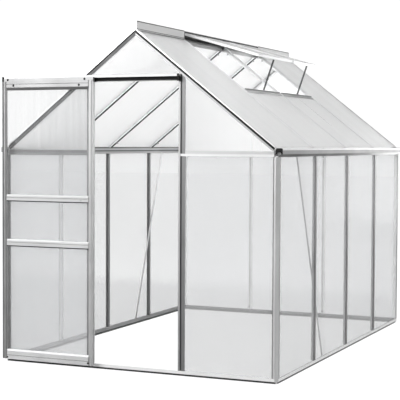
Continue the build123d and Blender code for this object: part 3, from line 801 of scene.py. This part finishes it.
SX = HALF - 0.0199
SEAT, MIDZ, GABZ = 0.012, 1.210, 1.2122
PX, RS, RT = 0.285, 0.2858, 0.2832


def under(x):
    return APEX - TAN * abs(x) - 0.014 / CO


for tag, face, inward, edge in (("front", Y0, 1, PX), ("rear", Y1, -1, RS)):
    bm = bmesh.new()
    for s in (-1, 1):
        a, b = sorted((s * edge, s * SX))
        upright_webs(bm, 0, a, b, face, inward, SEAT, MIDZ)
        a, b = sorted((s * edge, s * (SX - 0.001)))
        upright_webs(bm, 0, a, b, face, inward, GABZ, under)
    if tag == "front":
        upright_webs(bm, 0, -0.271, 0.271, face, inward, 1.6362, under)
    else:
        upright_webs(bm, 0, -RT, RT, face, inward, SEAT, MIDZ)
        upright_webs(bm, 0, -RT, RT, face, inward, GABZ, under)
    add(tag + "_sheet_webs", bm, WEB, "greenhouse")

for tag, side in (("left", -1), ("right", 1)):
    bm = bmesh.new()
    for i in range(4):
        a = Y0 + 0.0199 if i == 0 else EDGES[i] + 0.0013
        b = Y1 - 0.0199 if i == 3 else EDGES[i + 1] - 0.0013
        upright_webs(bm, 1, a, b, side * HALF, -side, SEAT, 1.211)
    add(tag + "_wall_sheet_webs", bm, WEB, "greenhouse")
    bm = bmesh.new()
    for i in range(4):
        a = Y0 + 0.005 if i == 0 else EDGES[i] + 0.0013
        b = Y1 - 0.005 if i == 3 else EDGES[i + 1] - 0.0013
        s0 = VENT_SILL + 0.008 if side > 0 and i in (1, 2) else 0.012
        for c in spots(a, b):
            quads = []
            for y in (c - WEB_T / 2, c + WEB_T / 2):
                quads.append([roof_point(side, s, n) + Vector((0, y, 0)) for s, n in
                              ((s0 + 0.001, -SHEET_A - IN), (RUN - 0.001, -SHEET_A - IN), (RUN - 0.001, -SHEET_B + IN), (s0 + 0.001, -SHEET_B + IN))])
            hexa(bm, quads[0], quads[1])
    add(tag + "_roof_sheet_webs", bm, WEB, "greenhouse")

VD = Vector((math.cos(VENT_DROP), 0, -math.sin(VENT_DROP)))
VN = Vector((math.sin(VENT_DROP), 0, math.cos(VENT_DROP)))


def vent_point(y, d, m):
    return HINGE + VD * d + VN * m + Vector((0, y, 0))


bm = bmesh.new()
for z0, z1 in ((0.0692, 0.6818), (0.7042, 0.9398), (0.9602, 1.5728)):
    upright_webs(bm, 0, DOOR_L + 0.0198, DOOR_R - 0.0198, DOOR_F + 0.0032, 1, z0, z1)
add("door_sheet_webs", bm, WEB, "door")

# ---------------------------------------------------------------- fixings
# door: screws through the hanger, top rail, foot and middle rail, as seen on its face
bm = bmesh.new()
for x, z, r in ((-0.7897, 1.6225, 0.0068), (-0.7524, 1.5900, 0.0068), (-0.2921, 1.6205, 0.0068), (-0.3275, 1.5880, 0.0068),
                (-0.7960, 0.0320, 0.0050), (-0.2700, 0.0340, 0.0055), (-0.3146, 0.9430, 0.0028)):
    flush_head(bm, (x, DOOR_F, z), (0, -1, 0), r)
add("door_screws", bm, DARK, "door")

# wall studs, posts and rafters: a nut and bolt in the channel at each joint
bm = bmesh.new()
for side in (-1, 1):
    for y in STUDS:
        for z in (0.046, 1.180):
            nut(bm, (side * (HALF - 0.020), y, z), (-side, 0, 0), 0, random.random())
        for s in (0.060, RUN - 0.060):
            p = roof_point(side, s, -0.020)
            nut(bm, (p.x, y, p.z), (-side * SI, 0, -CO), 0, random.random())
for x in (-0.2845, 0.2845):
    for z in (0.046, 1.178, 1.245, 1.46):
        nut(bm, (x, Y1 - 0.020, z), (0, -1, 0), 0, random.random())
add("frame_nuts", bm, STEEL, "greenhouse")


# ridge: a plate over each end of the capping in a pale lit copy of the aluminium, black plugs along the vents' hinge,
# and a black strip along each vent's hinge that stands in for the shade under it
bm = bmesh.new()
for y0, y1 in ((Y0 + 0.0003, Y0 + 0.0009), (Y1 - 0.0009, Y1 - 0.0003)):
    lo = [(-0.0078, y0, 1.8900), (0.0078, y0, 1.8900), (0.0078, y1, 1.8900), (-0.0078, y1, 1.8900)]
    hi = [(-0.0074, y0, 1.9358), (0.0074, y0, 1.9358), (0.0074, y1, 1.9358), (-0.0074, y1, 1.9358)]
    hexa(bm, lo, hi)
add("ridge_end_plates", bm, lit_shaded_copy(2, 0.95), "greenhouse")
bm = bmesh.new()
for y in (Y0 + 0.637, Y0 + 1.2385, Y0 + 1.861):
    lo = [(0.0018, y, 1.8665), (0.0064, y, 1.8665), (0.0064, y + 0.0215, 1.8665), (0.0018, y + 0.0215, 1.8665)]
    hi = [(0.0018, y + 0.001, 1.9300), (0.0060, y + 0.001, 1.9300), (0.0060, y + 0.0205, 1.9300), (0.0018, y + 0.0205, 1.9300)]
    if y == Y0 + 0.637:
        lo = [(p[0], min(p[1], y + 0.0025), p[2]) for p in lo]
        hi = [(p[0], min(p[1], y + 0.0022), p[2]) for p in hi]
    if y == Y0 + 1.861:
        lo = [(p[0], min(p[1], y + 0.0025), p[2]) for p in lo]
        hi = [(p[0], min(p[1], y + 0.0022), p[2]) for p in hi]
    hexa(bm, lo, hi)
# a black strip under each vent's hinge: painted shade where the hinge's gap is in shadow
for a, b in VENTS:
    lo = [(0.0018, a, 1.8860), (0.0062, a, 1.8860), (0.0062, b, 1.8860), (0.0018, b, 1.8860)]
    hi = [(0.0020, a, 1.8960), (0.0056, a, 1.8960), (0.0056, b, 1.8960), (0.0020, b, 1.8960)]
    hexa(bm, lo, hi)
add("ridge_shade_strips_and_plugs", bm, BLACK, "greenhouse")


# roof: a capping strip over each rafter, on the sheets' edges
bm = bmesh.new()
for side in (-1, 1):
    for y in STUDS:
        quads = []
        for s in (0.018, RUN - 0.012):
            quads.append([roof_point(side, s, n) + Vector((0, y + d, 0)) for d, n in ((-0.0135, -0.0017), (0.0135, -0.0017), (0.0120, -0.0002), (-0.0120, -0.0002))])
        hexa(bm, quads[0], quads[1])
add("roof_capping_strips", bm, satin("capping_strip_satin", 0.97, 0.40, metal=0.05), "greenhouse")


# ---------------------------------------------------------------- floor, light, camera
def stage_floor():
    bm = bmesh.new()
    bmesh.ops.create_grid(bm, x_segments=1, y_segments=1, size=40.0)
    me = bpy.data.meshes.new("floor")
    bm.to_mesh(me)
    bm.free()
    o = bpy.data.objects.new("floor", me)
    o.location = (0, 0, -0.0006)
    scene.collection.objects.link(o)
    m = bpy.data.materials.new("floor")
    m.use_nodes = True
    nt = m.node_tree
    nt.nodes.clear()
    out = node(nt, "ShaderNodeOutputMaterial")
    path = node(nt, "ShaderNodeLightPath")
    seen = node(nt, "ShaderNodeMixShader")
    pale = node(nt, "ShaderNodeMixShader")
    pale.inputs[0].default_value = 0.12
    glow = node(nt, "ShaderNodeEmission")
    glow.inputs["Color"].default_value = (1, 1, 1, 1)
    glow.inputs["Strength"].default_value = 1.06
    white = node(nt, "ShaderNodeBsdfDiffuse")
    white.inputs["Color"].default_value = (0.92, 0.92, 0.92, 1)
    grey = node(nt, "ShaderNodeBsdfDiffuse")
    grey.inputs["Color"].default_value = (0.30, 0.30, 0.30, 1)
    # white where it is seen directly, a shade down where it is seen through the sheets near the walls
    direct = node(nt, "ShaderNodeMath", operation="MAXIMUM")
    nt.links.new(path.outputs["Is Camera Ray"], direct.inputs[0])
    nt.links.new(path.outputs["Is Transmission Ray"], direct.inputs[1])
    tc = node(nt, "ShaderNodeTexCoord")
    xyz = node(nt, "ShaderNodeSeparateXYZ")
    nt.links.new(tc.outputs["Object"], xyz.inputs[0])
    far = span(nt, xyz.outputs["Y"], 2.4, 3.2, 0.74, 1.0)
    level = node(nt, "ShaderNodeMix", data_type="FLOAT")
    behind = node(nt, "ShaderNodeMath", operation="GREATER_THAN")
    behind.inputs[1].default_value = 0.5
    nt.links.new(path.outputs["Transparent Depth"], behind.inputs[0])
    deep = node(nt, "ShaderNodeMath", operation="MAXIMUM")
    nt.links.new(behind.outputs[0], deep.inputs[0])
    nt.links.new(path.outputs["Is Transmission Ray"], deep.inputs[1])
    nt.links.new(deep.outputs[0], level.inputs[0])
    level.inputs[2].default_value = 1.06
    nt.links.new(far, level.inputs[3])
    nt.links.new(level.outputs[0], glow.inputs["Strength"])
    nt.links.new(glow.outputs[0], pale.inputs[1])
    nt.links.new(white.outputs[0], pale.inputs[2])
    nt.links.new(direct.outputs[0], seen.inputs[0])
    nt.links.new(grey.outputs[0], seen.inputs[1])
    nt.links.new(pale.outputs[0], seen.inputs[2])
    nt.links.new(seen.outputs[0], out.inputs["Surface"])
    me.materials.append(m)


stage_floor()

world = bpy.data.worlds.new("studio")
scene.world = world
world.use_nodes = True
nt = world.node_tree
nt.nodes.clear()
out = node(nt, "ShaderNodeOutputWorld")
path = node(nt, "ShaderNodeLightPath")
mix = node(nt, "ShaderNodeMixShader")
plain = node(nt, "ShaderNodeBackground")
plain.inputs["Color"].default_value = (1, 1, 1, 1)
nt.links.new(span(nt, path.outputs["Is Transmission Ray"], 0.0, 1.0, 1.05, 1.55), plain.inputs["Strength"])
dome = node(nt, "ShaderNodeBackground")
dome.inputs["Strength"].default_value = 1.0
tc = node(nt, "ShaderNodeTexCoord")


def lobe(direction, low, high, power):
    """Brightness that rises from low to high towards a direction."""
    d = node(nt, "ShaderNodeVectorMath", operation="DOT_PRODUCT")
    d.inputs[1].default_value = Vector(direction).normalized()
    nt.links.new(tc.outputs["Generated"], d.inputs[0])
    r = node(nt, "ShaderNodeMapRange", interpolation_type="SMOOTHSTEP")
    for i, v in zip((1, 2, 3, 4), (-power, power, low, high)):
        r.inputs[i].default_value = v
    nt.links.new(d.outputs["Value"], r.inputs[0])
    return r.outputs[0]


total = node(nt, "ShaderNodeMath", operation="MULTIPLY")
nt.links.new(lobe((0, 0, 1), 0.25, 1.0, 0.55), total.inputs[0])
nt.links.new(lobe((-0.5, -0.85, 0.15), 0.42, 1.05, 0.9), total.inputs[1])
nt.links.new(total.outputs[0], dome.inputs["Color"])
direct = node(nt, "ShaderNodeMath", operation="MAXIMUM")
nt.links.new(path.outputs["Is Camera Ray"], direct.inputs[0])
nt.links.new(path.outputs["Is Transmission Ray"], direct.inputs[1])
nt.links.new(direct.outputs[0], mix.inputs[0])
nt.links.new(dome.outputs[0], mix.inputs[1])
nt.links.new(plain.outputs[0], mix.inputs[2])
nt.links.new(mix.outputs[0], out.inputs["Surface"])


def softbox(name, at, target, wide, high, watts, seen_by_camera=False):
    light = bpy.data.lights.new(name, "AREA")
    light.shape = "RECTANGLE"
    light.size, light.size_y = wide, high
    light.energy = watts
    o = bpy.data.objects.new(name, light)
    o.matrix_world = Matrix.Translation(at) @ (Vector(target) - Vector(at)).to_track_quat("-Z", "Y").to_matrix().to_4x4()
    o.visible_camera = seen_by_camera
    scene.collection.objects.link(o)
    return o


softbox("key_front_left", (-4.5, -7.5, 3.6), (0, -0.6, 0.9), 5.0, 4.0, 260)
softbox("top", (0.5, 0.3, 6.5), (0, 0, 1.0), 6.0, 6.0, 330)
softbox("back_card", (1.3, 8.0, 1.5), (0.8, 0, 1.2), 3.8, 2.4, 105)
fill = softbox("fill_right", (7.5, -0.5, 3.0), (0.6, 0.2, 1.0), 5.0, 3.5, 260)
fill.visible_glossy = False

cam = bpy.data.cameras.new("camera")
cam.sensor_width = 36.0
cam.sensor_fit = "HORIZONTAL"
cam.lens = 1214.05 / 400.0 * 36.0
cam.shift_x, cam.shift_y = 0.0008, -0.0025
cam.clip_end = 200.0
a, e, r = math.radians(23.612), math.radians(2.592), math.radians(0.267)
back = Vector((math.sin(a) * math.cos(e), -math.cos(a) * math.cos(e), math.sin(e)))
right = (-back).cross(Vector((0, 0, 1))).normalized()
up = right.cross(-back)
right, up = right * math.cos(r) + up * math.sin(r), up * math.cos(r) - right * math.sin(r)
co = bpy.data.objects.new("camera", cam)
co.matrix_world = Matrix.Translation((3.0000, -7.2030, 1.2627)) @ Matrix((right, up, back)).transposed().to_4x4()
scene.collection.objects.link(co)
scene.camera = co

scene.view_settings.view_transform = "Standard"
scene.view_settings.look = "None"
scene.cycles.transparent_max_bounces = 40
scene.cycles.max_bounces = 14
scene.cycles.diffuse_bounces = 3
scene.cycles.transmission_bounces = 12
